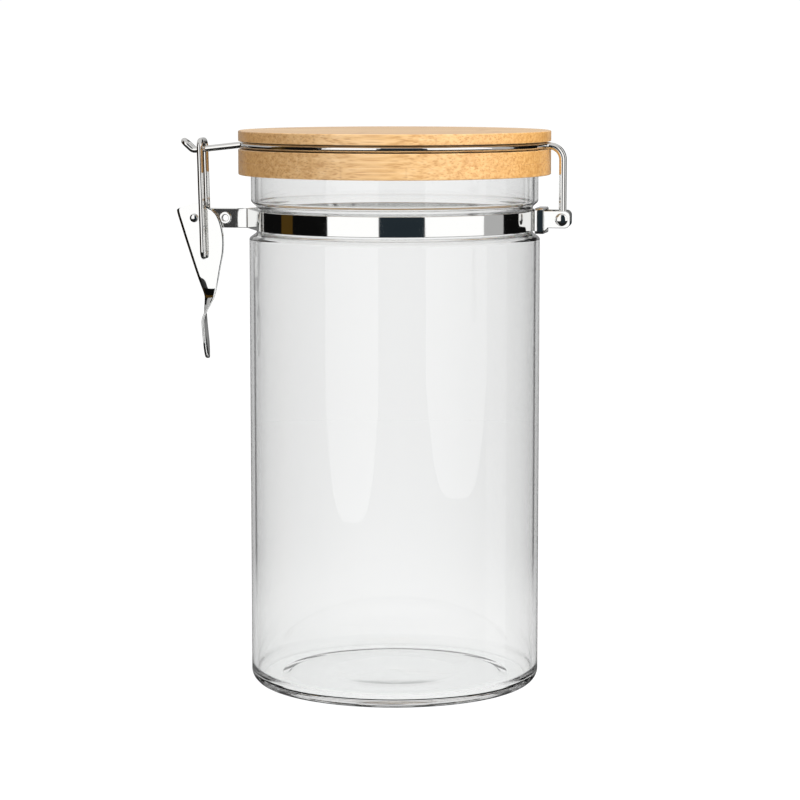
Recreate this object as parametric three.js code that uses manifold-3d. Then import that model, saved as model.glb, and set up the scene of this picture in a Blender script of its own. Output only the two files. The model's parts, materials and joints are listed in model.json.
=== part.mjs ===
// Clip-top food canister: a tall glass jar with a bamboo lid, held shut by a wire bail and a toggle clamp.
// Millimetres, +Z up. The origin is the centre of the jar's base, the hinge is at +X and the clamp at -X.

import * as THREE from "three";
import * as BufferGeometryUtils from "three/addons/utils/BufferGeometryUtils.js";
import Module from "manifold-3d";

const wasm = await Module();
wasm.setup();

// ---------------------------------------------------------------- glass jar
const bodyDiameter = 100;
const bodyHeight = 154.4; // straight wall, base to lower shoulder
const wall = 1.9;
const floorThickness = 3;
const baseCorner = 4.5; // outside radius between the wall and the base
const innerBaseCorner = 3.6;
const shoulderHeight = 2.6; // each slope into and out of the band's groove
const grooveDepth = 2.5;
const bandRoom = 0.7; // groove's flat bottom beyond each edge of the band
const neckInset = 0.6; // the neck's radius is this much under the body's
const neckHeight = 12.8; // straight neck, upper shoulder to rim

// ---------------------------------------------------------------- steel strip: the two half bands
const stripWidth = 6.8;
const stripThickness = 0.6;
const bandClearance = 0.3; // strip to glass, and collar to strip
const bandBend = 0.9; // centreline radius of the sharp bends
const lugAngle = 14; // degrees from +X where a half band leaves the neck
const earAngle = 21; // degrees from -X where it leaves the neck
const lugStep = 1; // the lugs are this much narrower, with their tops level
const lugEndCorner = 1.6;
const lugOverhang = 2.8; // lug beyond the hinge pin's axis
const earGap = 0.4; // between the two ears
const earPadRadius = 4.8;

// ---------------------------------------------------------------- collar and rivets
const collarThickness = 0.7;
const collarLength = 3;
const collarCorner = 1;
const tieRivetBore = 1.1; // radius
const tieRivetWall = 0.4;
const tieRivetFlange = 2.2; // radius
const tieRivetLip = 0.4; // height of the flange
const rivetHeadHeight = 0.7;
const leverRivetShank = 1; // radius
const leverRivetHead = 1.5; // radius
const rivetFit = 0.2; // radial room round a rivet
const rivetHeadGap = 0.15;
const tieRivetInset = 10.7; // tie rivet's axis to the lever's pivot

// ---------------------------------------------------------------- wire: lid bail and clamp link
const wireDiameter = 2.1;
const wireRoom = 0.2; // ring to the lid's core, and pin to its hole
const hingeOffset = 4.2; // hinge axis beyond the lid's edge
const hingeLegSpacing = 6.8; // centre to centre
const hingeDip = 0.8; // the legs' top bends below the ring
const hingeBend = 4.6;
const pinHead = 2.2; // radius of the head formed on each hinge pin
const pinHeadHeight = 0.9;
const ringBend = 2; // where the ring turns outwards
const pinBend = 1.6;
const tongueGap = 1.7; // clear between the tongue's two wires
const tongueDip = 0.4; // the tongue dips as it leaves the lid
const tongueDrop = 2.1; // and slopes down to its hook
const tongueBend = 4;
const hookAngle = 42; // degrees up from level
const hookLength = 4.6;
const linkRoom = 1.95; // tongue to each leg of the link
const linkLean = 1; // the link's top stands this much further out than its hole
const latchRoom = 0.8; // tongue to the link's top, and link's top to the hook
const linkTopBend = 2.5;

// ---------------------------------------------------------------- toggle lever
const leverReach = 16.2; // lever pivot beyond the lid's edge
const leverThickness = 0.9;
const leverGap = 0.3; // lever to the tie rivet's flange
const leverTop = 5; // above the pivot
const leverHoleDrop = 13.1; // link's hole below the pivot
const leverHoleOffset = 3.6; // link's hole on the jar side of the pivot
const leverLength = 48.8; // pivot to tip
const twistStart = 20;
const twistEnd = 36;
const tailTwist = 88; // degrees
const tailDish = 0.5; // hollow of the finger tail

// ---------------------------------------------------------------- bamboo lid and seal
const topDiscThickness = 3.6;
const wireGrooveRoom = 0.3; // above and below the wire
const wireInset = 0.6; // wire inside the lid's edge
const plyThickness = 4.35;
const skirtOverlap = 4; // skirt below the jar's rim
const skirtClearance = 1.1;
const skirtWall = 3.2;
const edgeRound = 0.5;
const gasketThickness = 1.5;
const gasketWidth = 6;
const gasketRoom = 0.3;
const plugDrop = 2.1; // centre plug below the rim

// ---------------------------------------------------------------- places worked out from the sizes
const bodyRadius = bodyDiameter / 2;
const grooveRadius = bodyRadius - grooveDepth;
const neckRadius = bodyRadius - neckInset;
const grooveBottom = bodyHeight + shoulderHeight;
const grooveTop = grooveBottom + stripWidth + 2 * bandRoom;
const neckBottom = grooveTop + shoulderHeight;
const rimZ = neckBottom + neckHeight;
const bandZ = (grooveBottom + grooveTop) / 2;

const bandRadius = grooveRadius + bandClearance + stripThickness / 2; // strip's middle
const lidRadius = neckRadius + skirtClearance + skirtWall;
const wireRadius = wireDiameter / 2;

const ceilingZ = rimZ + gasketRoom + gasketThickness;
const skirtBottom = rimZ - skirtOverlap;
const glueLineZ = skirtBottom + plyThickness;
const wireGrooveBottom = glueLineZ + plyThickness;
const wireGrooveTop = wireGrooveBottom + wireDiameter + 2 * wireGrooveRoom;
const lidTop = wireGrooveTop + topDiscThickness;
const coreRadius = lidRadius - wireInset - wireDiameter - wireRoom;
const recessRadius = neckRadius + skirtClearance;
const gasketOuter = recessRadius - gasketRoom;
const gasketInner = gasketOuter - gasketWidth;
const plugRadius = gasketInner - gasketRoom;

const ringRadius = coreRadius + wireRoom + wireRadius;
const ringZ = (wireGrooveBottom + wireGrooveTop) / 2;
const hingeX = lidRadius + hingeOffset;
const hingeZ = bandZ + lugStep / 2;
const lugY = hingeLegSpacing / 2 + wireRadius + bandClearance + stripThickness / 2;
const earY = (earGap + stripThickness) / 2;
const earFace = earGap / 2 + stripThickness;

const lugFace = lugY + stripThickness / 2;
const pinFace = lugFace + rivetHeadGap;

const pivotX = -(lidRadius + leverReach);
const tieRivetX = pivotX + tieRivetInset;
const leverY = -(earFace + tieRivetLip + leverGap + leverThickness / 2);
const linkHoleX = pivotX + leverHoleOffset;
const linkHoleZ = bandZ - leverHoleDrop;
const linkTopX = linkHoleX - linkLean;
const tongueSpacing = tongueGap + wireDiameter;
const linkSpacing = tongueSpacing + 2 * linkRoom + wireDiameter;
const hookX = linkTopX - wireDiameter - latchRoom;
const tongueStartX = -(lidRadius + wireRadius);
const tongueStartZ = ringZ - tongueDip;
const hookZ = ringZ - tongueDrop;
const tongueSlope = (tongueStartZ - hookZ) / (tongueStartX - hookX);
const linkTopZ = tongueStartZ - tongueSlope * (tongueStartX - linkTopX) + wireDiameter + latchRoom;

// ---------------------------------------------------------------- materials
function material(colour, roughness, metalness) {
  return new THREE.MeshStandardMaterial({ color: colour, roughness, metalness });
}

const glass = material(0xeef3f2, 0.05, 0);
const steel = material(0xd2d3d3, 0.12, 1);
const bamboo = material(0xe0b377, 0.55, 0);
const silicone = material(0xf1f1ec, 0.45, 0);

// Flat sides round each turned shape.
const glassSides = 56;
const lidSides = 60;
const rivetSides = 20;

const canister = new THREE.Group();

function addPiece(name, geometry, finish) {
  const mesh = new THREE.Mesh(geometry, finish);
  mesh.name = name;
  canister.add(mesh);
}

// ---------------------------------------------------------------- geometry helpers
const radians = THREE.MathUtils.degToRad;

function toSolid(geometry) {
  const bare = geometry.clone();
  bare.deleteAttribute("normal");
  bare.deleteAttribute("uv");
  const merged = BufferGeometryUtils.mergeVertices(bare);
  const vertProperties = new Float32Array(merged.attributes.position.array);
  const triVerts = new Uint32Array(merged.index.array);
  return new wasm.Manifold(new wasm.Mesh({ numProp: 3, vertProperties, triVerts }));
}

function toGeometry(solid) {
  const mesh = solid.getMesh();
  const geometry = new THREE.BufferGeometry();
  geometry.setAttribute("position", new THREE.BufferAttribute(new Float32Array(mesh.vertProperties), 3));
  geometry.setIndex(new THREE.BufferAttribute(new Uint32Array(mesh.triVerts), 1));
  geometry.computeVertexNormals();
  return geometry;
}

// Points of an arc, both ends included.
function arc(centreX, centreY, radius, startDegrees, endDegrees, steps) {
  const points = [];
  for (let i = 0; i <= steps; i += 1) {
    const angle = radians(startDegrees + ((endDegrees - startDegrees) * i) / steps);
    points.push(new THREE.Vector2(centreX + radius * Math.cos(angle), centreY + radius * Math.sin(angle)));
  }
  return points;
}

// A profile of (radius, height) points turned round the Z axis.
function turned(profile, segments) {
  return new THREE.LatheGeometry(profile, segments).rotateX(Math.PI / 2);
}

// A closed ring of square or stepped section: the profile runs anticlockwise and closes on itself.
function turnedRing(profile, segments) {
  return turned([...profile, profile[0].clone()], segments);
}

// A solid disc with softened edges.
function disc(radius, bottom, top, round) {
  const profile = [new THREE.Vector2(0, bottom)];
  profile.push(...arc(radius - round, bottom + round, round, -90, 0, 2));
  profile.push(...arc(radius - round, top - round, round, 0, 90, 2));
  profile.push(new THREE.Vector2(0, top));
  return turned(profile, lidSides);
}

function rectangle(x0, y0, x1, y1) {
  return [
    new THREE.Vector2(x0, y0),
    new THREE.Vector2(x1, y0),
    new THREE.Vector2(x1, y1),
    new THREE.Vector2(x0, y1),
  ];
}

function roundedRectangle(halfWidth, halfHeight, corner) {
  const points = [];
  points.push(...arc(halfWidth - corner, -halfHeight + corner, corner, -90, 0, 4));
  points.push(...arc(halfWidth - corner, halfHeight - corner, corner, 0, 90, 4));
  points.push(...arc(-halfWidth + corner, halfHeight - corner, corner, 90, 180, 4));
  points.push(...arc(-halfWidth + corner, -halfHeight + corner, corner, 180, 270, 4));
  return points;
}

// A flat (x, z) outline made thick along Y.
function prismAlongY(outline, yLow, yHigh) {
  const options = { depth: yHigh - yLow, bevelEnabled: false };
  return new THREE.ExtrudeGeometry(new THREE.Shape(outline), options)
    .rotateX(Math.PI / 2)
    .translate(0, yHigh, 0);
}

function rodAlongY(radius, yLow, yHigh, x, z) {
  const rod = new THREE.CylinderGeometry(radius, radius, yHigh - yLow, rivetSides);
  return rod.translate(x, (yLow + yHigh) / 2, z);
}

// Replaces each corner of a path by an arc of that corner's bend radius.
function bentPath(corners) {
  const points = [];
  corners.forEach((corner, i) => {
    const before = corners[i - 1];
    const after = corners[i + 1];
    if (!before || !after || !corner.bend) {
      points.push(corner.at);
      return;
    }
    const inward = before.at.clone().sub(corner.at).normalize();
    const outward = after.at.clone().sub(corner.at).normalize();
    const turn = Math.PI - inward.angleTo(outward);
    const setback = corner.bend * Math.tan(turn / 2);
    const centre = inward.clone().add(outward).normalize();
    centre.multiplyScalar(corner.bend / Math.cos(turn / 2)).add(corner.at);
    const start = inward.multiplyScalar(setback).add(corner.at).sub(centre);
    const end = outward.multiplyScalar(setback).add(corner.at).sub(centre);
    const steps = Math.max(1, Math.round(turn / radians(20)));
    const axis = start.clone().cross(end).normalize();
    for (let step = 0; step <= steps; step += 1) {
      const spoke = start.clone().applyAxisAngle(axis, (turn * step) / steps);
      points.push(spoke.add(centre));
    }
  });
  return points;
}

// A path through given points, with a section at each point and nowhere else.
class PointPath extends THREE.Curve {
  constructor(points) {
    super();
    this.points = points;
  }

  getPoint(t) {
    return this.points[Math.round(t * (this.points.length - 1))].clone();
  }

  getSpacedPoints() {
    return this.points.map((point) => point.clone());
  }

  getTangentAt(u, target = new THREE.Vector3()) {
    const last = this.points.length - 1;
    const i = Math.round(u * last);
    const here = this.points[i];
    const next = this.points[Math.min(i + 1, last)];
    const previous = this.points[Math.max(i - 1, 0)];
    const ahead = next.clone().sub(here).normalize();
    const behind = here.clone().sub(previous).normalize();
    return target.copy(ahead.add(behind)).normalize();
  }
}

// Round wire bent along a list of corners.
function wire(corners) {
  const points = bentPath(corners);
  const section = new THREE.Shape(arc(0, 0, wireRadius, 0, 324, 9));
  const options = { steps: points.length - 1, bevelEnabled: false, extrudePath: new PointPath(points) };
  return new THREE.ExtrudeGeometry(section, options);
}

function corner(x, y, z, bend) {
  return { at: new THREE.Vector3(x, y, z), bend };
}

// The same corners walked back on the other side of the Y = 0 plane.
function mirroredBack(corners) {
  return corners.map(({ at, bend }) => corner(at.x, -at.y, at.z, bend)).reverse();
}

// ---------------------------------------------------------------- glass jar
// A smooth slope between two radii.
function slope(fromRadius, fromZ, toRadius, toZ) {
  const points = [];
  const steps = 3;
  for (let i = 0; i <= steps; i += 1) {
    const blend = (1 - Math.cos((Math.PI * i) / steps)) / 2;
    const radius = THREE.MathUtils.lerp(fromRadius, toRadius, blend);
    points.push(new THREE.Vector2(radius, THREE.MathUtils.lerp(fromZ, toZ, i / steps)));
  }
  return points;
}

function glassJar() {
  const rimRound = wall / 2;
  const profile = [new THREE.Vector2(0, 0)];
  profile.push(...arc(bodyRadius - baseCorner, baseCorner, baseCorner, -90, 0, 5));
  profile.push(...slope(bodyRadius, bodyHeight, grooveRadius, grooveBottom));
  profile.push(...slope(grooveRadius, grooveTop, neckRadius, neckBottom));
  profile.push(...arc(neckRadius - rimRound, rimZ - rimRound, rimRound, 0, 180, 4));
  profile.push(...slope(neckRadius - wall, neckBottom, grooveRadius - wall, grooveTop));
  profile.push(...slope(grooveRadius - wall, grooveBottom, bodyRadius - wall, bodyHeight));
  const innerCorner = bodyRadius - wall - innerBaseCorner;
  profile.push(...arc(innerCorner, floorThickness + innerBaseCorner, innerBaseCorner, 0, -90, 4));
  profile.push(new THREE.Vector2(0, floorThickness));
  return turned(profile, glassSides);
}

// ---------------------------------------------------------------- half bands
// Both edges of a strip seen from above, as one outline.
function stripOutline(centreline) {
  const near = [];
  const far = [];
  centreline.forEach((point, i) => {
    const next = centreline[Math.min(i + 1, centreline.length - 1)];
    const previous = centreline[Math.max(i - 1, 0)];
    const ahead = next.clone().sub(point).normalize();
    const behind = point.clone().sub(previous).normalize();
    const along = ahead.clone().add(behind).normalize();
    const reference = i === 0 ? ahead : behind;
    const mitre = stripThickness / 2 / along.dot(reference);
    near.push(new THREE.Vector2(point.x - along.y * mitre, point.y + along.x * mitre));
    far.push(new THREE.Vector2(point.x + along.y * mitre, point.y - along.x * mitre));
  });
  return [...near, ...far.reverse()];
}

// Where the straight run from the neck meets the line y = offset.
function bendPoint(departure, offset, side) {
  const angle = radians(departure);
  const run = (bandRadius * Math.sin(angle) - offset) / Math.cos(angle);
  return side * (bandRadius * Math.cos(angle) + run * Math.sin(angle));
}

const lugBendX = bendPoint(lugAngle, lugY, 1);
const earBendX = bendPoint(earAngle, earY, -1);
const lugEndX = hingeX + lugOverhang;
const collarEnd = bandBend + collarLength;

// side is -1 for the front half and +1 for the rear half.
function halfBand(side) {
  const corners = [corner(pivotX, side * earY, 0), corner(earBendX, side * earY, 0, bandBend)];
  for (const point of arc(0, 0, bandRadius, 180 - earAngle, lugAngle, 32)) {
    corners.push(corner(point.x, side * point.y, 0));
  }
  corners.push(corner(lugBendX, side * lugY, 0, bandBend), corner(lugEndX, side * lugY, 0));
  const options = { depth: stripWidth, bevelEnabled: false };
  const strip = new THREE.ExtrudeGeometry(new THREE.Shape(stripOutline(bentPath(corners))), options);
  strip.translate(0, 0, bandZ - stripWidth / 2);

  const top = bandZ + stripWidth / 2;
  const bottom = bandZ - stripWidth / 2;
  const lugBottom = bottom + lugStep;
  const lugStart = lugBendX + collarEnd;
  const cornerX = lugEndX - lugEndCorner;
  const elevation = [
    new THREE.Vector2(pivotX - 1, bottom),
    new THREE.Vector2(lugStart, bottom),
    new THREE.Vector2(lugStart + lugStep, lugBottom),
    ...arc(cornerX, lugBottom + lugEndCorner, lugEndCorner, -90, 0, 5),
    ...arc(cornerX, top - lugEndCorner, lugEndCorner, 0, 90, 5),
    new THREE.Vector2(pivotX - 1, top),
  ];
  const envelope = prismAlongY(elevation, -bodyRadius, bodyRadius);

  const earNear = side * (earGap / 2);
  const earFar = side * earFace;
  const padOutline = arc(pivotX, bandZ, earPadRadius, 0, 345, 23);
  const pad = prismAlongY(padOutline, Math.min(earNear, earFar), Math.max(earNear, earFar));

  const reach = pinFace;
  const hingeHole = rodAlongY(wireRadius + wireRoom, -reach, reach, hingeX, hingeZ);
  const tieHole = rodAlongY(tieRivetBore + tieRivetWall + rivetFit, -reach, reach, tieRivetX, bandZ);
  const leverHole = rodAlongY(leverRivetShank + rivetFit, -reach, reach, pivotX, bandZ);
  const holes = toSolid(hingeHole).add(toSolid(tieHole)).add(toSolid(leverHole));
  return toGeometry(toSolid(strip).intersect(toSolid(envelope)).add(toSolid(pad)).subtract(holes));
}

// ---------------------------------------------------------------- collar and rivets
// A rectangular sleeve pushed over both lugs, close to the neck.
function hingeCollar() {
  const innerWidth = lugFace + bandClearance;
  const innerHeight = stripWidth / 2 + bandClearance;
  const outer = roundedRectangle(innerWidth + collarThickness, innerHeight + collarThickness, collarCorner);
  const shape = new THREE.Shape(outer);
  shape.holes.push(new THREE.Path(rectangle(-innerWidth, -innerHeight, innerWidth, innerHeight).reverse()));
  const sleeve = new THREE.ExtrudeGeometry(shape, { depth: collarLength, bevelEnabled: false });
  sleeve.rotateX(Math.PI / 2).rotateZ(Math.PI / 2);
  return sleeve.translate(lugBendX + bandBend, 0, bandZ);
}

// A hollow rivet that ties the two ears together.
function tieRivet() {
  const tube = tieRivetBore + tieRivetWall;
  const flangeEnd = earFace + tieRivetLip;
  const profile = [
    new THREE.Vector2(tieRivetBore, -flangeEnd),
    new THREE.Vector2(tieRivetFlange - 0.3, -flangeEnd),
    new THREE.Vector2(tieRivetFlange, -earFace),
    new THREE.Vector2(tube, -earFace),
    new THREE.Vector2(tube, earFace),
    new THREE.Vector2(tieRivetFlange, earFace),
    new THREE.Vector2(tieRivetFlange - 0.3, flangeEnd),
    new THREE.Vector2(tieRivetBore, flangeEnd),
  ];
  return turnedRing(profile, rivetSides).rotateX(Math.PI / 2).translate(tieRivetX, 0, bandZ);
}

// The solid rivet that the lever turns on, with a domed head at each end.
function leverRivet() {
  const frontFace = -leverY + leverThickness / 2 + rivetHeadGap;
  const rearFace = -(earFace + rivetHeadGap);
  const profile = [new THREE.Vector2(0, rearFace - rivetHeadHeight)];
  profile.push(new THREE.Vector2(leverRivetHead * 0.7, rearFace - rivetHeadHeight * 0.75));
  profile.push(new THREE.Vector2(leverRivetHead, rearFace));
  profile.push(new THREE.Vector2(leverRivetShank, rearFace));
  profile.push(new THREE.Vector2(leverRivetShank, frontFace));
  profile.push(new THREE.Vector2(leverRivetHead, frontFace));
  profile.push(new THREE.Vector2(leverRivetHead * 0.7, frontFace + rivetHeadHeight * 0.75));
  profile.push(new THREE.Vector2(0, frontFace + rivetHeadHeight));
  return turned(profile, rivetSides).rotateX(Math.PI / 2).translate(pivotX, 0, bandZ);
}

// ---------------------------------------------------------------- toggle lever
// The blank's half width and the offset of its middle towards the jar, at distances below the pivot.
const leverDrops = [-2.8, -1, 2.1, 7, 12, 17, 22.6, 27, 29.6, 32, 35, 38, 43, 49];
const leverHalfWidths = [6.4, 7, 7.2, 6.9, 6, 4.7, 3.3, 2.6, 2.6, 3, 3.7, 4.1, 4.3, 4.2];
const leverMiddles = [0.2, 1.15, 2.3, 3.5, 4.2, 4.5, 4.9, 5.1, 4.5, 3.8, 3.3, 3.4, 3.8, 4.2];
const leverHalfWidth = new THREE.CubicInterpolant(leverDrops, leverHalfWidths, 1);
const leverMiddle = new THREE.CubicInterpolant(leverDrops, leverMiddles, 1);
const leverShoulder = 2.8; // the top's corners above the pivot
const tipRound = 6; // length of the rounded tip

// One point of the lever's surface: across runs from -1 to 1, face is -1 on the front and 1 on the back.
function leverPoint(drop, across, face) {
  const intoTip = THREE.MathUtils.clamp((drop - leverLength + tipRound) / tipRound, 0, 0.98);
  const half = leverHalfWidth.evaluate(drop)[0] * Math.sqrt(1 - intoTip ** 2);
  const twist = radians(tailTwist) * THREE.MathUtils.smoothstep(drop, twistStart, twistEnd);
  const dish = tailDish * THREE.MathUtils.smoothstep(drop, twistEnd - 4, twistEnd + 8) * (1 - across ** 2);
  const depth = (face * leverThickness) / 2 + dish;
  const middleX = pivotX + leverMiddle.evaluate(drop)[0];
  const x = middleX + half * across * Math.cos(twist) + depth * Math.sin(twist);
  const y = leverY - half * across * Math.sin(twist) + depth * Math.cos(twist);
  return [x, y, bandZ - drop];
}

function clampLever() {
  const rows = 36;
  const columns = 6;
  const positions = [];
  const faces = [-1, 1];
  for (const face of faces) {
    for (let row = 0; row <= rows; row += 1) {
      const level = -leverShoulder + ((leverLength + leverShoulder) * row) / rows;
      const crown = (leverTop - leverShoulder) * Math.max(0, 1 - row / 3);
      for (let column = 0; column <= columns; column += 1) {
        const across = (2 * column) / columns - 1;
        positions.push(...leverPoint(level - crown * (1 - across ** 2), across, face));
      }
    }
  }

  const stride = columns + 1;
  const back = (rows + 1) * stride;
  const index = [];
  const addQuad = (a, b, c, d) => index.push(a, b, c, a, c, d);
  for (let row = 0; row < rows; row += 1) {
    for (let column = 0; column < columns; column += 1) {
      const a = row * stride + column;
      addQuad(a, a + stride, a + stride + 1, a + 1);
      addQuad(back + a, back + a + 1, back + a + stride + 1, back + a + stride);
    }
    const left = row * stride;
    const right = left + columns;
    addQuad(left, back + left, back + left + stride, left + stride);
    addQuad(right, right + stride, back + right + stride, back + right);
  }
  const last = rows * stride;
  for (let column = 0; column < columns; column += 1) {
    addQuad(column, column + 1, back + column + 1, back + column);
    addQuad(last + column, back + last + column, back + last + column + 1, last + column + 1);
  }

  const plate = new THREE.BufferGeometry();
  plate.setAttribute("position", new THREE.Float32BufferAttribute(positions, 3));
  plate.setIndex(index);
  const through = [leverY - leverThickness, leverY + leverThickness];
  const pivotHole = rodAlongY(leverRivetShank + rivetFit, ...through, pivotX, bandZ);
  const linkHole = rodAlongY(wireRadius + wireRoom + 0.15, ...through, linkHoleX, linkHoleZ);
  return toGeometry(toSolid(plate).subtract(toSolid(pivotHole)).subtract(toSolid(linkHole)));
}

// ---------------------------------------------------------------- clamp link
// A closed loop of wire whose two ends meet inside the lever's hole.
function clampLink() {
  const half = linkSpacing / 2;
  const endGap = 0.1;
  const corners = [
    corner(linkHoleX, leverY - endGap, linkHoleZ),
    corner(linkHoleX, -half, linkHoleZ, pinBend),
    corner(linkTopX, -half, linkTopZ, linkTopBend),
    corner(linkTopX, half, linkTopZ, linkTopBend),
    corner(linkHoleX, half, linkHoleZ, pinBend),
    corner(linkHoleX, leverY + endGap, linkHoleZ),
  ];
  return wire(corners);
}

// ---------------------------------------------------------------- lid bail
// One wire: hinge pin, leg, round the lid's groove to the tongue and its hook, and back the same way.
function lidBail() {
  const leg = hingeLegSpacing / 2;
  const pinEnd = pinFace + pinHeadHeight / 2;
  const halfTongue = tongueSpacing / 2;
  const start = THREE.MathUtils.radToDeg(Math.asin(leg / ringRadius));
  const finish = 180 - THREE.MathUtils.radToDeg(Math.asin(halfTongue / ringRadius));
  const ring = arc(0, 0, ringRadius, start, finish, 26);
  const startCorner = ring.shift();
  const finishCorner = ring.pop();
  const hookTipX = hookX - hookLength * Math.cos(radians(hookAngle));
  const hookTipZ = hookZ + hookLength * Math.sin(radians(hookAngle));
  const half = [
    corner(hingeX, -pinEnd, hingeZ),
    corner(hingeX, -leg, hingeZ, pinBend),
    corner(hingeX, -leg, ringZ - hingeDip, hingeBend),
    corner(startCorner.x, -leg, ringZ, ringBend),
    ...ring.map((point) => corner(point.x, -point.y, ringZ)),
    corner(finishCorner.x, -halfTongue, ringZ, ringBend),
    corner(tongueStartX, -halfTongue, tongueStartZ, tongueBend),
    corner(hookX, -halfTongue, hookZ, ringBend),
    corner(hookTipX, -halfTongue, hookTipZ, halfTongue * 0.98),
  ];
  let bail = toSolid(wire([...half, ...mirroredBack(half)]));
  const head = [
    new THREE.Vector2(0, 0),
    new THREE.Vector2(pinHead, 0),
    new THREE.Vector2(pinHead * 0.85, pinHeadHeight * 0.6),
    new THREE.Vector2(pinHead * 0.5, pinHeadHeight * 0.92),
    new THREE.Vector2(0, pinHeadHeight),
  ];
  for (const turn of [90, -90]) {
    const cap = turned(head, rivetSides).translate(0, 0, pinFace).rotateX(radians(turn));
    bail = bail.add(toSolid(cap.translate(hingeX, 0, hingeZ)));
  }
  return toGeometry(bail);
}

// ---------------------------------------------------------------- bamboo lid and seal
function grooveDisc() {
  const height = wireGrooveTop - wireGrooveBottom;
  const core = new THREE.CylinderGeometry(coreRadius, coreRadius, height, lidSides);
  return core.rotateX(Math.PI / 2).translate(0, 0, ringZ);
}

// The upper ply, with the gasket's seat turned into its underside.
function upperPly() {
  const profile = [
    new THREE.Vector2(0, glueLineZ),
    new THREE.Vector2(plugRadius, glueLineZ),
    new THREE.Vector2(plugRadius, ceilingZ),
    new THREE.Vector2(recessRadius, ceilingZ),
    new THREE.Vector2(recessRadius, glueLineZ),
    new THREE.Vector2(lidRadius, glueLineZ),
    ...arc(lidRadius - edgeRound, wireGrooveBottom - edgeRound, edgeRound, 0, 90, 2),
    new THREE.Vector2(0, wireGrooveBottom),
  ];
  return turned(profile, lidSides);
}

function skirtRing() {
  const profile = [
    new THREE.Vector2(recessRadius, skirtBottom),
    ...arc(lidRadius - edgeRound, skirtBottom + edgeRound, edgeRound, -90, 0, 2),
    new THREE.Vector2(lidRadius, glueLineZ),
    new THREE.Vector2(recessRadius, glueLineZ),
  ];
  return turnedRing(profile, lidSides);
}

function centrePlug() {
  const profile = [
    new THREE.Vector2(0, rimZ - plugDrop),
    ...arc(plugRadius - edgeRound, rimZ - plugDrop + edgeRound, edgeRound, -90, 0, 2),
    new THREE.Vector2(plugRadius, glueLineZ),
    new THREE.Vector2(0, glueLineZ),
  ];
  return turned(profile, lidSides);
}

function gasket() {
  const profile = rectangle(gasketInner, ceilingZ - gasketThickness, gasketOuter, ceilingZ);
  return turnedRing(profile, lidSides);
}

// ---------------------------------------------------------------- the canister
addPiece("glass_jar", glassJar(), glass);
addPiece("front_half_band", halfBand(-1), steel);
addPiece("rear_half_band", halfBand(1), steel);
addPiece("hinge_collar", hingeCollar(), steel);
addPiece("ear_tie_rivet", tieRivet(), steel);
addPiece("lever_rivet", leverRivet(), steel);
addPiece("clamp_lever", clampLever(), steel);
addPiece("clamp_link", clampLink(), steel);
addPiece("lid_bail", lidBail(), steel);
addPiece("lid_top_disc", disc(lidRadius, wireGrooveTop, lidTop, edgeRound), bamboo);
addPiece("lid_groove_disc", grooveDisc(), bamboo);
addPiece("lid_upper_ply", upperPly(), bamboo);
addPiece("lid_skirt_ring", skirtRing(), bamboo);
addPiece("lid_centre_plug", centrePlug(), bamboo);
addPiece("lid_gasket", gasket(), silicone);

export default canister;
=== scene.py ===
"""Blender scene of a clip-top food canister: glass jar, bamboo lid, wire bail, neck band and toggle clamp."""

import json
import math

import bmesh
import bpy
from mathutils import Matrix, Vector


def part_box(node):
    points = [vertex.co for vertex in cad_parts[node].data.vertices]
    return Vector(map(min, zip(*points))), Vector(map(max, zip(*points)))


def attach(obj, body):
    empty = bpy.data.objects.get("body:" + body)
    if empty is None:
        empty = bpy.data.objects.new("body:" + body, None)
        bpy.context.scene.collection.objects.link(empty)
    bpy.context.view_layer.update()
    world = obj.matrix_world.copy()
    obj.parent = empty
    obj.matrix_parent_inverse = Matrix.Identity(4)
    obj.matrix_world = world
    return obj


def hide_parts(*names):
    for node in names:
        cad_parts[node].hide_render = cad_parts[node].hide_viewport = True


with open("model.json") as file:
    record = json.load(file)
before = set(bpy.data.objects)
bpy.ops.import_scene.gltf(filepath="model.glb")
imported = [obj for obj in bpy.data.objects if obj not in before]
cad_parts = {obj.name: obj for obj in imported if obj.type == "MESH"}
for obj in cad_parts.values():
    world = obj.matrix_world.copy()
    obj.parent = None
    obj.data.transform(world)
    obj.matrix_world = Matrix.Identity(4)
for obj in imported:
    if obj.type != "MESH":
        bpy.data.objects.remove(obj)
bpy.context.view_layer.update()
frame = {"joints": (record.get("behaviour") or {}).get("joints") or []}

MM = 0.001  # every shape below is worked out in millimetres and made in metres


def box_mm(node):
    """(lowest corner, highest corner) of a CAD node, in millimetres."""
    low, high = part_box(node)
    return low / MM, high / MM


def joint_mm(name):
    """Where a joint's axis lies, in millimetres."""
    joint = next(j for j in frame["joints"] if j["name"] == name)
    return Vector(joint["pos_m"]) / MM


# ---------------------------------------------------------------- sizes that the frame's boxes don't give
WALL = 1.9
FLOOR_THICKNESS = 3.0
BASE_CORNER = 4.5
INNER_BASE_CORNER = 3.6
SHOULDER = 2.6  # height of each slope into and out of the groove
NECK_HEIGHT = 12.8
NECK_INSET = 0.6
BAND_ROOM = 0.7

STRIP_THICKNESS = 0.6
STRIP_WIDTH = 6.8
STRIP_EDGE = 0.18  # radius that tumbling leaves on a stamped edge
BAND_BEND = 0.9
LUG_ANGLE = 14
EAR_ANGLE = 21
LUG_STEP = 1.0
LUG_END_CORNER = 1.6
EAR_PAD_RADIUS = 4.8

COLLAR_THICKNESS = 0.7
TIE_BORE = 1.1
RIVET_SHANK = 1.0
HOLE_ROOM = 0.2
HEAD_GAP = 0.15
EAR_LEAN = 5.8  # degrees that the hand-set ears lean forward at the top
LUG_SPREAD = 3.0  # and that the lugs spring apart past the collar
COLLAR_SKEW = 4.0  # the crimped collar sits this much askew

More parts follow.
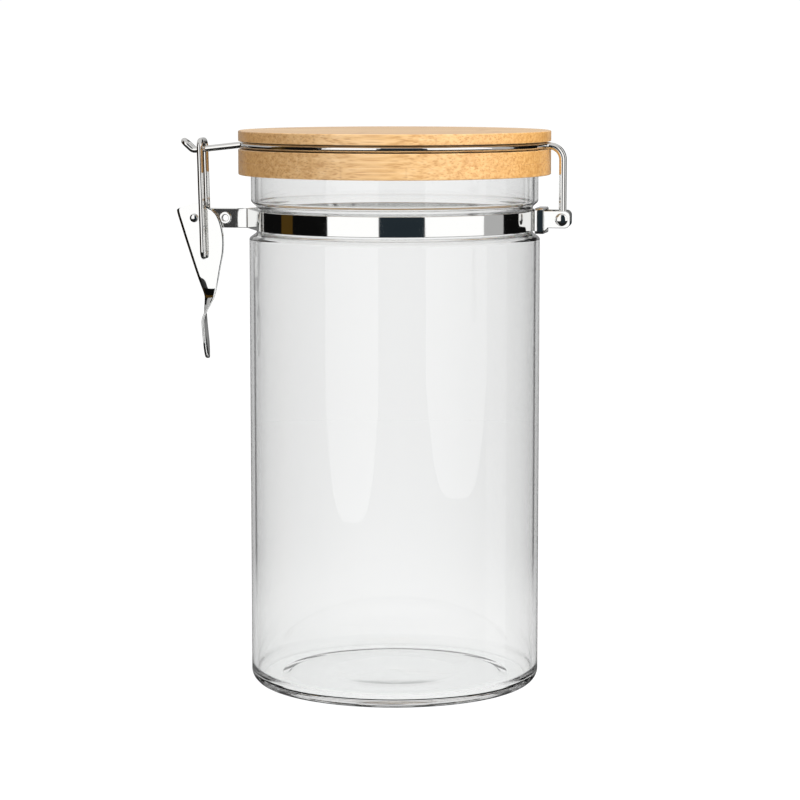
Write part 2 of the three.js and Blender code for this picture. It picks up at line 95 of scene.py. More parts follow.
WIRE_RADIUS = 1.05
WIRE_ROOM = 0.2
RING_BEND = 2.0
HINGE_BEND = 4.6
HINGE_DIP = 0.8
PIN_BEND = 1.6
PIN_HEAD_HEIGHT = 0.9
PIN_HEAD = 2.2
TONGUE_SPACING = 3.8
TONGUE_DIP = 0.4
TONGUE_DROP = 2.1
TONGUE_BEND = 4.0
HOOK_ANGLE = 42
HOOK_LENGTH = 4.6
LATCH_ROOM = 0.8
LINK_TOP_BEND = 2.5

LEVER_THICKNESS = 0.9
LEVER_SHOULDER = 2.8
LEVER_EDGE = 0.3  # rounding of the lever's edges
TWIST_START = 20
TWIST_END = 36
TAIL_TWIST = 88
TAIL_DISH = 0.5
TIP_ROUND = 6
COINED_WIDTH = 1.0  # bevel along the lever's outer edge
COINED_DEPTH = 0.48

FIT_GAP = 0.3  # between pieces that meet or turn beside each other
EAR_STATIONS = 12
EAR_LEAN_START = 0.9  # beyond the ear's bend
EAR_LEAN_FULL = 4
TIE_WALL = 0.4
LEVER_RIVET_HEAD_HEIGHT = 0.7

LID_EDGE = 0.42
GASKET_WIDTH = 6
SKIRT_WALL = 3.2

# ---------------------------------------------------------------- places, from the frame
_, jar_high = box_mm("glass_jar")
body_radius = jar_high.x
rim_z = jar_high.z
neck_radius = body_radius - NECK_INSET
neck_bottom = rim_z - NECK_HEIGHT
groove_top = neck_bottom - SHOULDER
groove_bottom = groove_top - STRIP_WIDTH - 2 * BAND_ROOM
body_height = groove_bottom - SHOULDER

band_low, band_high = box_mm("front_half_band")
band_z = (band_low.z + band_high.z) / 2
band_radius = -band_low.y - STRIP_THICKNESS / 2
groove_radius = band_radius - STRIP_THICKNESS / 2 - FIT_GAP
ear_y = -band_high.y + STRIP_THICKNESS / 2
lug_end_x = band_high.x

collar_low, collar_high = box_mm("hinge_collar")
lug_y = collar_high.y - COLLAR_THICKNESS - FIT_GAP - STRIP_THICKNESS / 2

rivet_low, rivet_high = box_mm("lever_rivet")
rivet_head = (rivet_high.x - rivet_low.x) / 2
pivot = joint_mm("lever_hinge")
tie_low, tie_high = box_mm("ear_tie_rivet")
tie_x = (tie_low.x + tie_high.x) / 2

lever_low, lever_high = box_mm("clamp_lever")
lever_top = lever_high.z - band_z
lever_length = band_z - lever_low.z
ear_face = ear_y + STRIP_THICKNESS / 2
lever_y = tie_low.y - FIT_GAP - LEVER_THICKNESS / 2

link_hole = joint_mm("link_hinge")
link_low, link_high = box_mm("clamp_link")
link_half = link_high.y - WIRE_RADIUS
link_top_z = link_high.z - WIRE_RADIUS
link_top_x = link_low.x + WIRE_RADIUS

hinge = joint_mm("lid_hinge")
hinge_leg = lug_y - STRIP_THICKNESS / 2 - FIT_GAP - WIRE_RADIUS
ring_z = joint_mm("lid_turn").z

top_low, top_high = box_mm("lid_top_disc")
core_low, core_high = box_mm("lid_groove_disc")
ply_low, ply_high = box_mm("lid_upper_ply")
skirt_low, skirt_high = box_mm("lid_skirt_ring")
plug_low, plug_high = box_mm("lid_centre_plug")
gasket_low, gasket_high = box_mm("lid_gasket")
lid_radius = top_high.x
ring_radius = core_high.x + WIRE_ROOM + WIRE_RADIUS


# ---------------------------------------------------------------- mesh helpers
def make_object(name, vertices, faces, smooth_angle=35):
    """A mesh object from millimetre vertices, smooth except across edges sharper than the angle."""
    mesh = bpy.data.meshes.new(name)
    mesh.from_pydata([Vector(v) * MM for v in vertices], [], faces)
    mesh.validate()
    shape = bmesh.new()
    shape.from_mesh(mesh)
    bmesh.ops.recalc_face_normals(shape, faces=shape.faces)
    shape.to_mesh(mesh)
    shape.free()
    mesh.shade_smooth()
    mesh.set_sharp_from_angle(angle=math.radians(smooth_angle))
    obj = bpy.data.objects.new(name, mesh)
    bpy.context.scene.collection.objects.link(obj)
    return obj


def arc(cx, cy, radius, start, end, steps):
    """Points of an arc from one angle to another in degrees, both ends included."""
    points = []
    for i in range(steps + 1):
        angle = math.radians(start + (end - start) * i / steps)
        points.append((cx + radius * math.cos(angle), cy + radius * math.sin(angle)))
    return points


def held(points, closed=False, reach=0.12):
    """Adds a point near each end of every long straight, so that rounded edges don't soften the flats."""
    out = []
    count = len(points)
    for i in range(count if closed else count - 1):
        start = Vector(points[i])
        end = Vector(points[(i + 1) % count])
        out.append(start)
        length = (end - start).length
        if length > 4 * reach:
            out += [start.lerp(end, reach / length), end.lerp(start, reach / length)]
    return out if closed else out + [Vector(points[-1])]


def held_flats(outline, per_corner, reach=0.05):
    """The same for a closed outline of rounded corners, with two points more on each flat."""
    out = []
    for i, point in enumerate(outline):
        start = Vector(point)
        out.append(start)
        if (i + 1) % per_corner == 0:
            end = Vector(outline[(i + 1) % len(outline)])
            share = min(0.3, reach / max((end - start).length, reach))
            out += [start.lerp(end, share), end.lerp(start, share)]
    return out


def smoothstep(value, low, high):
    t = max(0.0, min(1.0, (value - low) / (high - low)))
    return t * t * (3 - 2 * t)


def revolve(name, profile, segments=192, closed=False, smooth_angle=35):
    """Turns (radius, height) points round the Z axis. An open profile starts and ends on the axis."""
    profile = held(profile, closed)
    vertices = []
    rings = []
    for radius, height in profile:
        if radius < 1e-6:
            rings.append([len(vertices)])
            vertices.append((0, 0, height))
            continue
        first = len(vertices)
        for i in range(segments):
            angle = 2 * math.pi * i / segments
            vertices.append((radius * math.cos(angle), radius * math.sin(angle), height))
        rings.append(list(range(first, first + segments)))
    pairs = list(zip(rings, rings[1:]))
    if closed:
        pairs.append((rings[-1], rings[0]))
    faces = []
    for low, high in pairs:
        for i in range(segments):
            j = (i + 1) % segments
            if len(low) == 1:
                faces.append((low[0], high[i], high[j]))
            elif len(high) == 1:
                faces.append((low[i], high[0], low[j]))
            else:
                faces.append((low[i], low[j], high[j], high[i]))
    return make_object(name, vertices, faces, smooth_angle)


def lay_along_y(obj, x, z):
    """Turns a shape made about the Z axis so that its axis is Y, through (x, z)."""
    turn = Matrix.Rotation(math.radians(-90), 4, "X")
    obj.data.transform(Matrix.Translation(Vector((x, 0, z)) * MM) @ turn)
    return obj


def skin(name, rings, smooth_angle=35):
    """Joins rings of equal length into a closed skin, with a flat face at each end."""
    count = len(rings[0])
    vertices = [point for ring in rings for point in ring]
    faces = []
    for row in range(len(rings) - 1):
        for i in range(count):
            j = (i + 1) % count
            a = row * count
            faces.append((a + i, a + j, a + count + j, a + count + i))
    last = (len(rings) - 1) * count
    faces.append(tuple(range(count)))
    faces.append(tuple(range(last, last + count)))
    return make_object(name, vertices, faces, smooth_angle)


def bent_path(corners, step_degrees=6):
    """Replaces each (point, bend radius) corner by an arc of that radius."""
    points = []
    for i, (at, bend) in enumerate(corners):
        if i in (0, len(corners) - 1) or not bend:
            points.append(at.copy())
            continue
        inward = (corners[i - 1][0] - at).normalized()
        outward = (corners[i + 1][0] - at).normalized()
        turn = math.pi - inward.angle(outward)
        setback = bend * math.tan(turn / 2)
        centre = at + (inward + outward).normalized() * (bend / math.cos(turn / 2))
        start = at + inward * setback - centre
        end = at + outward * setback - centre
        steps = max(2, round(math.degrees(turn) / step_degrees))
        axis = start.cross(end).normalized()
        for step in range(steps + 1):
            points.append(centre + Matrix.Rotation(turn * step / steps, 3, axis) @ start)
    return points


def wire(name, points, sides=24):
    """Round wire along a path, with softly rounded ends."""
    points = held(points, reach=0.25)
    tangents = []
    for i, point in enumerate(points):
        ahead = points[min(i + 1, len(points) - 1)] - point
        behind = point - points[max(i - 1, 0)]
        tangents.append((ahead.normalized() + behind.normalized()).normalized())
    across = tangents[0].orthogonal().normalized()
    # Distance in from the end, and radius there, both as shares of the wire's radius.
    end_dome = [(0.0, 0.55), (0.08, 0.8), (0.22, 0.94)]
    first = tangents[0]
    last = tangents[-1]
    stations = [(points[0] + first * (WIRE_RADIUS * d), first, r) for d, r in end_dome]
    stations += [(point, tangent, 1.0) for point, tangent in zip(points[1:-1], tangents[1:-1])]
    stations += [(points[-1] - last * (WIRE_RADIUS * d), last, r) for d, r in reversed(end_dome)]
    rings = []
    for centre, tangent, share in stations:
        across = (across - tangent * across.dot(tangent)).normalized()
        upward = tangent.cross(across)
        ring = []
        for side in range(sides):
            angle = 2 * math.pi * side / sides
            spoke = math.cos(angle) * across + math.sin(angle) * upward
            ring.append(centre + WIRE_RADIUS * share * spoke)
        rings.append(ring)
    return skin(name, rings)


def cut(obj, *tools):
    """Takes the tools' solids away from obj."""
    for tool in tools:
        modifier = obj.modifiers.new("cut", "BOOLEAN")
        modifier.operation = "DIFFERENCE"
        modifier.solver = "EXACT"
        modifier.object = tool
    graph = bpy.context.evaluated_depsgraph_get()
    mesh = bpy.data.meshes.new_from_object(obj.evaluated_get(graph))
    obj.modifiers.clear()
    obj.data = mesh
    for tool in tools:
        bpy.data.objects.remove(tool)
    mesh.shade_smooth()
    mesh.set_sharp_from_angle(angle=math.radians(35))
    return obj


def rod_along_y(radius, y_low, y_high, x, z):
    profile = [(0, y_low), (radius, y_low), (radius, y_high), (0, y_high)]
    return lay_along_y(revolve("cutter", profile, 48), x, z)


def finish_piece(obj, material, body, node):
    obj.data.materials.clear()
    for one in material if isinstance(material, list) else [material]:
        obj.data.materials.append(one)
    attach(obj, body)
    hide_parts(node)
    return obj


# ---------------------------------------------------------------- node helpers
class Nodes:
    """Short calls for building one material's node tree."""

    def __init__(self, name):
        self.material = bpy.data.materials.new(name)
        self.material.use_nodes = True
        self.tree = self.material.node_tree
        self.tree.nodes.clear()

    def add(self, kind, inputs=None, **settings):
        node = self.tree.nodes.new("ShaderNode" + kind)
        for key, value in settings.items():
            setattr(node, key, value)
        for key, value in (inputs or {}).items():
            self.feed(node.inputs[key], value)
        return node

    def feed(self, socket, value):
        if isinstance(value, bpy.types.NodeSocket):
            self.tree.links.new(value, socket)
        else:
            socket.default_value = value

    def math(self, operation, a, b=0.0, c=0.0):
        return self.add("Math", {0: a, 1: b, 2: c}, operation=operation).outputs[0]

    def ramp(self, factor, *stops):
        """A colour ramp from (position, (r, g, b)) or (position, grey) stops."""
        node = self.add("ValToRGB", {"Fac": factor})
        elements = node.color_ramp.elements
        elements.remove(elements[1])
        elements[0].position = stops[0][0]
        for position, _ in stops[1:]:
            elements.new(position)
        for element, (_, colour) in zip(elements, stops):
            element.color = (*colour, 1) if isinstance(colour, tuple) else (colour, colour, colour, 1)
        return node.outputs["Color"]

    def scaled(self, vector, x, y, z):
        return self.add("Mapping", {"Vector": vector, "Scale": (x, y, z)}).outputs["Vector"]

    def mix(self, factor, a, b, blend="MIX"):
        node = self.add("Mix", data_type="RGBA", blend_type=blend)
        self.feed(node.inputs[0], factor)
        self.feed(node.inputs[6], a)
        self.feed(node.inputs[7], b)
        return node.outputs[2]

    def noise(self, vector, scale, detail=3, roughness=0.5):
        return self.add(
            "TexNoise", {"Vector": vector, "Scale": scale, "Detail": detail, "Roughness": roughness}
        ).outputs["Fac"]

    def output(self, shader):
        self.add("OutputMaterial", {"Surface": shader})
        return self.material


def linear(red, green, blue):
    """An 8-bit screen colour as linear light."""
    out = []
    for value in (red, green, blue):
        share = value / 255
        out.append(share / 12.92 if share <= 0.04045 else ((share + 0.055) / 1.055) ** 2.4)
    return tuple(out)


# ---------------------------------------------------------------- materials
def glass_material(name, stops, base_stops):
    """Clear borosilicate: a faint real tint, with painted shade that darkens the colour where the wall turns
    away, standing in for the dark edges that refraction and reflection give, more gently near the base.
    """
    n = Nodes(name)
    facing = n.add("LayerWeight", {"Blend": 0.5}).outputs["Facing"]
    position = n.add("TexCoord").outputs["Object"]
    height = n.add("SeparateXYZ", {"Vector": position}).outputs["Z"]
    above_base = {"Value": height, "From Min": 0.022, "From Max": 0.05}
    upper = n.add("MapRange", above_base, interpolation_type="SMOOTHSTEP")
    # Painted shade: the facing ramps darken the glass colour towards its silhouette, more gently below the
    # base mask.
    tint = n.mix(upper.outputs["Result"], n.ramp(facing, *base_stops), n.ramp(facing, *stops))
    tint = n.mix(1.0, tint, (0.997, 1.0, 0.999, 1), "MULTIPLY")
    swirl = n.noise(n.scaled(position, 1, 1, 0.25), 38, 2, 0.4)
    bump = n.add("Bump", {"Strength": 0.05, "Distance": 0.0006, "Height": swirl}).outputs["Normal"]
    glass = n.add("BsdfPrincipled", {"Base Color": tint, "Normal": bump})
    glass.inputs["Roughness"].default_value = 0.0
    glass.inputs["IOR"].default_value = 1.47
    glass.inputs["Transmission Weight"].default_value = 1.0
    path = n.add("LightPath")
    shadow = n.math("MAXIMUM", path.outputs["Is Shadow Ray"], path.outputs["Is Diffuse Ray"])
    clear = n.add("BsdfTransparent", {"Color": (0.9, 0.92, 0.915, 1)}).outputs[0]
    return n.output(n.add("MixShader", {0: shadow, 1: glass.outputs[0], 2: clear}).outputs[0])


def polished_metal(name, colour, roughness, waviness, line_height):
    """Mirror-polished stainless: faint polishing lines, soft unevenness and a few fine scuffs."""
    n = Nodes(name)
    position = n.add("TexCoord").outputs["Object"]
    lines = n.noise(n.scaled(position, 600, 600, 9000), 1, 3, 0.6)
    cloud = n.noise(position, 260, 3, 0.55)
    wave = n.noise(position, 95, 1, 0.4)
    scuff = n.ramp(n.noise(n.scaled(position, 900, 900, 2500), 1, 4, 0.7), (0.62, 0.0), (0.8, 1.0))
    rough = n.math("MULTIPLY_ADD", cloud, 0.06, roughness - 0.03)
    rough = n.math("MULTIPLY_ADD", scuff, 0.07, rough)
    shade = n.mix(n.math("MULTIPLY", scuff, 0.25), (*colour, 1), (*[c * 0.8 for c in colour], 1))
    height = n.math("MULTIPLY_ADD", lines, line_height, n.math("MULTIPLY", wave, waviness))
    bump = n.add("Bump", {"Strength": 0.35, "Distance": 0.0002, "Height": height}).outputs["Normal"]
    metal = n.add("BsdfPrincipled", {"Base Color": shade, "Roughness": rough, "Normal": bump})
    metal.inputs["Metallic"].default_value = 1.0
    return n.output(metal.outputs[0])


def bamboo_material(name, strip_width, strip_shift, shade=1.0):
    """Laminated bamboo: strips along X, each of long fibres whose cut ends show as dots on the end grain."""
    n = Nodes(name)
    position = n.add("TexCoord").outputs["Object"]
    axes = n.add("SeparateXYZ", {"Vector": position}).outputs
    strip_place = n.math("MULTIPLY_ADD", axes["Y"], 1 / (strip_width * MM), strip_shift)
    strip_number = n.math("FLOOR", strip_place)
    within = n.math("FRACT", strip_place)
    strip_random = n.add("TexWhiteNoise", {"W": strip_number}, noise_dimensions="1D").outputs["Value"]

    # fibre bundles: cells in the end grain, drawn out along X
    jitter = n.noise(n.scaled(position, 12, 240, 240), 1, 2)
    bundles = n.add("TexVoronoi", {"Vector": n.scaled(position, 24, 1650, 1650), "Scale": 1.0})
    bundles = bundles.outputs["Distance"]
    streaks = n.noise(n.scaled(position, 26, 900, 900), 1, 4, 0.6)
    broad = n.noise(n.scaled(position, 7, 150, 150), 1, 3, 0.5)

    pale = linear(236, 200, 150)
    middle = linear(225, 184, 128)
    deep = linear(200, 155, 98)
    ground = n.ramp(streaks, (0.32, deep), (0.5, middle), (0.7, pale))
    tint = n.ramp(strip_random, (0.0, (0.90, 0.87, 0.83)), (0.5, (0.97, 0.96, 0.94)), (1.0, (1.0, 1.0, 1.0)))
    ground = n.mix(1.0, ground, tint, "MULTIPLY")
    ground = n.mix(0.4, ground, n.ramp(broad, (0.3, (0.84, 0.81, 0.76)), (0.65, (1.0, 1.0, 1.0))), "MULTIPLY")
    dots = n.ramp(bundles, (0.16, 1.0), (0.46, 0.0))
    dot_amount = n.math("MULTIPLY", dots, n.math("MULTIPLY_ADD", jitter, 0.4, 0.27))
    ground = n.mix(dot_amount, ground, (*linear(158, 108, 56), 1))

    # cut ends drink more oil, so the end grain is darker and browner
    normal = n.add("TexCoord").outputs["Normal"]
    end_face = n.math("ABSOLUTE", n.add("SeparateXYZ", {"Vector": normal}).outputs["X"])
    end_grain = n.ramp(end_face, (0.25, (1.0, 1.0, 1.0)), (0.9, (0.82, 0.70, 0.47)))
    ground = n.mix(1.0, ground, end_grain, "MULTIPLY")

    # a culm node crosses each strip at its own place, and a thin glue line parts the strips
    length_place = n.math("MULTIPLY_ADD", axes["X"], 1 / 0.12, n.math("MULTIPLY", strip_random, 7.3))
    from_node = n.math("ABSOLUTE", n.math("SUBTRACT", n.math("FRACT", length_place), 0.5))
    culm_node = n.ramp(from_node, (0.004, 1.0), (0.02, 0.0))
    ground = n.mix(n.math("MULTIPLY", culm_node, 0.25), ground, (*linear(180, 130, 76), 1))
    edge = n.math("MINIMUM", within, n.math("SUBTRACT", 1.0, within))
    glue = n.ramp(edge, (0.0, 1.0), (0.12 / strip_width, 0.0))
    ground = n.mix(n.math("MULTIPLY", glue, 0.2), ground, (*linear(150, 102, 58), 1))

    relief = n.math("MULTIPLY_ADD", streaks, 0.6, n.math("MULTIPLY", bundles, 0.5))
    relief = n.math("SUBTRACT", relief, n.math("MULTIPLY", glue, 0.5))
    bump = n.add("Bump", {"Strength": 0.4, "Distance": 0.00012, "Height": relief}).outputs["Normal"]
    # shade multiplies the whole colour: painted shade for a piece that sits in shadow, used at 0.3 for the
    # groove core.
    ground = n.mix(1.0, ground, (shade, shade, shade, 1), "MULTIPLY")
    rough = n.math("MULTIPLY_ADD", streaks, 0.2, 0.42)
    wood = n.add("BsdfPrincipled", {"Base Color": ground, "Roughness": rough, "Normal": bump})
    wood.inputs["IOR"].default_value = 1.48
    wood.inputs["Coat Weight"].default_value = 0.7
    wood.inputs["Coat Roughness"].default_value = 0.22
    return n.output(wood.outputs[0])


def silicone_material():
    """Translucent white silicone with a faint moulded grain."""
    n = Nodes("silicone")
    position = n.add("TexCoord").outputs["Object"]
    grain = n.noise(position, 2200, 3)
    cloud = n.noise(position, 120, 2)
    colour = n.ramp(cloud, (0.3, (0.78, 0.78, 0.75)), (0.7, (0.87, 0.87, 0.84)))
    bump = n.add("Bump", {"Strength": 0.2, "Distance": 0.0001, "Height": grain}).outputs["Normal"]
    rubber = n.add("BsdfPrincipled", {"Base Color": colour, "Normal": bump})
    rubber.inputs["Roughness"].default_value = 0.42
    rubber.inputs["Subsurface Weight"].default_value = 0.3
    rubber.inputs["Subsurface Scale"].default_value = 0.002
    return n.output(rubber.outputs[0])


# Outer glass ramps by facing: a faint real tint face-on, then painted shade darkening towards the silhouette
# and a painted dark line just inside it. The base ramp paints gentler shade.
wall_tint_and_painted_edge_shade = [(0.0, 0.925), (0.155, 0.86), (0.334, 0.81), (0.512, 0.72), (0.65, 0.57), (0.702, 0.52)]
painted_dark_edge_line = [(0.718, 0.40), (0.736, 0.05), (0.757, 0.06), (0.785, 0.55), (1.0, 0.70)]
base_tint_and_painted_edge_shade = [(0.0, 0.90), (0.334, 0.84), (0.65, 0.78), (0.8, 0.78), (1.0, 0.82)]
outer_glass = glass_material("glass_outside", wall_tint_and_painted_edge_shade + painted_dark_edge_line, base_tint_and_painted_edge_shade)
inner_glass = glass_material("glass_inside", [(0.0, 0.91), (1.0, 0.89)], [(0.0, 0.96), (1.0, 0.95)])
steel = polished_metal("steel_strip", (0.80, 0.80, 0.79), 0.05, 0.35, 0.01)
wire_steel = polished_metal("steel_wire", (0.80, 0.79, 0.77), 0.06, 0.1, 0.0)
top_bamboo = bamboo_material("bamboo_top", 21, 0.37)
upper_bamboo = bamboo_material("bamboo_upper_ply", 19, 0.11)
lower_bamboo = bamboo_material("bamboo_lower_ply", 20, 0.63)
# The groove core's colour is multiplied by 0.3: painted shade for the dark recess of the lid's groove.
core_bamboo_painted_shade = bamboo_material("bamboo_core_painted_shade", 18, 0.5, 0.3)
silicone = silicone_material()


# ---------------------------------------------------------------- glass jar
def slope(from_radius, from_z, to_radius, to_z, steps=12):
    """A smooth slope between two radii."""
    points = []
    for i in range(steps + 1):
        blend = (1 - math.cos(math.pi * i / steps)) / 2
        points.append((from_radius + (to_radius - from_radius) * blend, from_z + (to_z - from_z) * i / steps))
    return points


def jar_glass():
    rim = WALL / 2
    outside = [(0, 0.35), (body_radius - BASE_CORNER - 9, 0.35), (body_radius - BASE_CORNER - 6, 0)]
    outside += arc(body_radius - BASE_CORNER, BASE_CORNER, BASE_CORNER, -90, 0, 14)
    outside += slope(body_radius, body_height, groove_radius, groove_bottom)
    outside += slope(groove_radius, groove_top, neck_radius, neck_bottom)
    outside += arc(neck_radius - rim, rim_z - rim, rim, 0, 90, 8)
    inside = arc(neck_radius - rim, rim_z - rim, rim, 90, 180, 8)[1:]
    inside += slope(neck_radius - WALL, neck_bottom, groove_radius - WALL, groove_top)
    inside += slope(groove_radius - WALL, groove_bottom, body_radius - WALL, body_height)
    corner = body_radius - WALL - INNER_BASE_CORNER
    inside += arc(corner, FLOOR_THICKNESS + INNER_BASE_CORNER, INNER_BASE_CORNER, 0, -90, 12)
    inside += [(body_radius * 0.45, FLOOR_THICKNESS - 0.15), (0, FLOOR_THICKNESS + 0.25)]
    jar = revolve("jar_glass", outside + inside, 256, smooth_angle=60)
    finish_piece(jar, [outer_glass, inner_glass], "jar", "glass_jar")
    wall_middle = body_radius - WALL / 2
    for face in jar.data.polygons:
        middle = face.center / MM
        outward = face.normal.dot(Vector((middle.x, middle.y, 0)))
        low = middle.z < FLOOR_THICKNESS / 2
        is_outside = low or (outward > 0 and math.hypot(middle.x, middle.y) > wall_middle - 5)
        face.material_index = 0 if is_outside else 1
    return jar


# ---------------------------------------------------------------- half bands
def half_band(name, side, node):
    """A strip cut, bent and pierced: round pad, ear, half the neck, then the lug. side is -1 at the front."""
    def bend_x(departure, offset, end):
        angle = math.radians(departure)
        run = (band_radius * math.sin(angle) - offset) / math.cos(angle)
        return end * (band_radius * math.cos(angle) + run * math.sin(angle))

    pad_end = pivot.x - EAR_PAD_RADIUS
    lug_bend = bend_x(LUG_ANGLE, lug_y, 1)
    corners = [(Vector((pad_end, side * ear_y, 0)), 0)]
    corners.append((Vector((bend_x(EAR_ANGLE, ear_y, -1), side * ear_y, 0)), BAND_BEND))
    for x, y in arc(0, 0, band_radius, 180 - EAR_ANGLE, LUG_ANGLE, 120):
        corners.append((Vector((x, side * y, 0)), 0))
    corners.append((Vector((lug_bend, side * lug_y, 0)), BAND_BEND))
    corners.append((Vector((lug_end_x, side * lug_y, 0)), 0))
    line = bent_path(corners)

    pad_right = pivot.x + EAR_PAD_RADIUS
    pad = [Vector((x, side * ear_y, 0)) for x, _ in arc(pivot.x, 0, EAR_PAD_RADIUS, 178, 0, 40)]
    lug_start = lug_bend + BAND_BEND + (collar_high.x - collar_low.x)
    lug_flat = lug_end_x - LUG_END_CORNER
    lug = [Vector((lug_start + LUG_STEP * i / 4, side * lug_y, 0)) for i in range(5)]
    lug += [Vector((x, side * lug_y, 0)) for x, _ in arc(lug_flat, 0, LUG_END_CORNER, 90, 3, 12)]
    middle = [p for p in line if pad_right < p.x < lug_start - 0.2]
    ear_end = bend_x(EAR_ANGLE, ear_y, -1)
    ear_run = ear_end - BAND_BEND - pad_right
    ear_shares = [(i + 0.5) / EAR_STATIONS for i in range(EAR_STATIONS)]
    ear = [Vector((pad_right + ear_run * share, side * ear_y, 0)) for share in ear_shares]
    stations = pad + ear + middle + lug

    half = STRIP_WIDTH / 2
    edge = STRIP_EDGE
    rings = []
    for i, point in enumerate(stations):
        ahead = (stations[min(i + 1, len(stations) - 1)] - point).normalized()
        behind = (point - stations[max(i - 1, 0)]).normalized()
        along = (ahead + behind).normalized()
        normal = Vector((-along.y, along.x, 0))
        stretch = 1 / along.dot(ahead if i == 0 else behind)
        top = half
        bottom = -half
        lean = 0
        spread = side * math.tan(math.radians(LUG_SPREAD)) * max(0, point.x - lug_start)
        if point.x < ear_end:
            leant = smoothstep(ear_end - point.x, EAR_LEAN_START, EAR_LEAN_FULL)
            lean = -math.tan(math.radians(EAR_LEAN)) * leant
        if point.x <= pad_right:
            reach = math.sqrt(max(EAR_PAD_RADIUS ** 2 - (point.x - pivot.x) ** 2, 0.01))
            top = max(reach, half if point.x > pivot.x else 0)
            bottom = -top
        if point.x >= lug_start:
            bottom = -half + min(LUG_STEP, point.x - lug_start)
        if point.x > lug_flat:
            drop = LUG_END_CORNER - math.sqrt(max(LUG_END_CORNER ** 2 - (point.x - lug_flat) ** 2, 0))
            top -= drop
            bottom += drop
        section = []
        for cx, cz, start in ((1, 1, 0), (-1, 1, 90), (-1, -1, 180), (1, -1, 270)):
            level = top - edge if cz > 0 else bottom + edge
            section += arc(cx * (STRIP_THICKNESS / 2 - edge), level, edge, start, start + 90, 4)
        ring = []
        for offset, level in held_flats(section, 5):
            aside = Vector((0, lean * level + spread, band_z + level))
            ring.append(point + normal * (offset * stretch) + aside)
        rings.append(ring)
    band = skin(name, rings)
    reach = lug_y + 1
    holes = [
        rod_along_y(WIRE_RADIUS + WIRE_ROOM, -reach, reach, hinge.x, hinge.z),
        rod_along_y((tie_high.x - tie_low.x) / 2 - 0.5, -reach, reach, tie_x, band_z),
        rod_along_y(RIVET_SHANK + HOLE_ROOM, -reach, reach, pivot.x, band_z),
    ]
    cut(band, *holes)
    return finish_piece(band, steel, "jar", node)


# ---------------------------------------------------------------- collar and rivets
def rounded_rectangle(half_width, half_height, corner, steps=6):
    points = []
    for sx, sy, start in ((1, 1, 0), (-1, 1, 90), (-1, -1, 180), (1, -1, 270)):
        centre = (sx * (half_width - corner), sy * (half_height - corner))
        points += arc(*centre, corner, start, start + 90, steps)
    return held_flats(points, steps + 1, 0.1)


def collar_sleeve():
    """A rectangular sleeve of thin strip, pushed over both lugs, with softened mouth edges."""
    middle_z = (collar_low.z + collar_high.z) / 2
    half_y = collar_high.y
    half_z = (collar_high.z - collar_low.z) / 2
    soft = 0.16
    inner_y = half_y - COLLAR_THICKNESS
    inner_z = half_z - COLLAR_THICKNESS
    loops = [
        (collar_low.x + soft, 0, 1.0),
        (collar_high.x - soft, 0, 1.0),
        (collar_high.x - soft * 0.3, soft * 0.3, 0.95),
        (collar_high.x, soft, 0.9),
    ]
    rings = []
    for x, inset, corner in loops:
        outline = rounded_rectangle(half_y - inset, half_z - inset, corner)
        rings.append([(x, y, middle_z + z) for y, z in outline])
    for x in (collar_high.x, collar_high.x - soft, collar_low.x + soft, collar_low.x):
        flare = soft * 0.5 if x in (collar_high.x, collar_low.x) else 0
        outline = rounded_rectangle(inner_y + flare, inner_z + flare, 0.35)
        rings.append([(x, y, middle_z + z) for y, z in outline])
    outline = rounded_rectangle(half_y - soft, half_z - soft, 0.9)
    rings.append([(collar_low.x, y, middle_z + z) for y, z in outline])
    count = len(rings[0])
    vertices = [point for ring in rings for point in ring]
    faces = []
    for row in range(len(rings)):
        below = row * count
        above = (row + 1) % len(rings) * count
        for i in range(count):
            j = (i + 1) % count
            faces.append((below + i, below + j, above + j, above + i))
    collar = make_object("collar_sleeve", vertices, faces)
    middle = Vector(((collar_low.x + collar_high.x) / 2, 0, 0)) * MM
    skew = Matrix.Rotation(math.radians(-COLLAR_SKEW), 4, "Z")
    collar.data.transform(Matrix.Translation(middle) @ skew @ Matrix.Translation(-middle))
    return finish_piece(collar, steel, "jar", "hinge_collar")


def tie_rivet_tube():
    """The hollow rivet through both ears, its flanges rolled over."""
    flange = (tie_high.x - tie_low.x) / 2
    end = tie_high.y
    tube = TIE_BORE + TIE_WALL
    lip = end - ear_face
    half = arc(TIE_BORE + lip * 0.6, end - lip * 0.6, lip * 0.6, 180, 90, 6)
    half += arc(flange - lip * 0.9, ear_face + 0.02, lip * 0.9, 80, 0, 6)
    half += [(tube, ear_face + 0.02)]
    profile = half + [(radius, -height) for radius, height in reversed(half)]
    tube_rivet = revolve("tie_rivet_tube", profile, 48, closed=True, smooth_angle=50)
    lay_along_y(tube_rivet, tie_x, band_z)
    return finish_piece(tube_rivet, steel, "jar", "ear_tie_rivet")


def dome(radius, base, height, steps=8):
    """The profile of a domed head, from its rim at the base to its top on the axis."""
    angles = [math.radians(90 * i / steps) for i in range(steps)]
    points = [(radius * math.cos(a), base + height * math.sin(a)) for a in angles]
    return points + [(0, base + height)]


def lever_rivet_dome():
    """The lever's solid rivet. Heights run along -Y before it is laid over, so the front is the high end."""
    front = -rivet_low.y
    rear = -rivet_high.y
    head = LEVER_RIVET_HEAD_HEIGHT
    profile = [(0, rear)] + [(r, rear + head - (h - rear)) for r, h in dome(rivet_head, rear, head)[-2::-1]]
    profile += [(RIVET_SHANK, rear + head + 0.01), (RIVET_SHANK, front - head - 0.01)]
    profile += dome(rivet_head, front - head, head)
    rivet = revolve("lever_rivet_dome", profile, 48, smooth_angle=50)
    rivet.data.transform(Matrix.Rotation(math.pi, 4, "X"))
    lay_along_y(rivet, pivot.x, band_z)
    return finish_piece(rivet, steel, "jar", "lever_rivet")


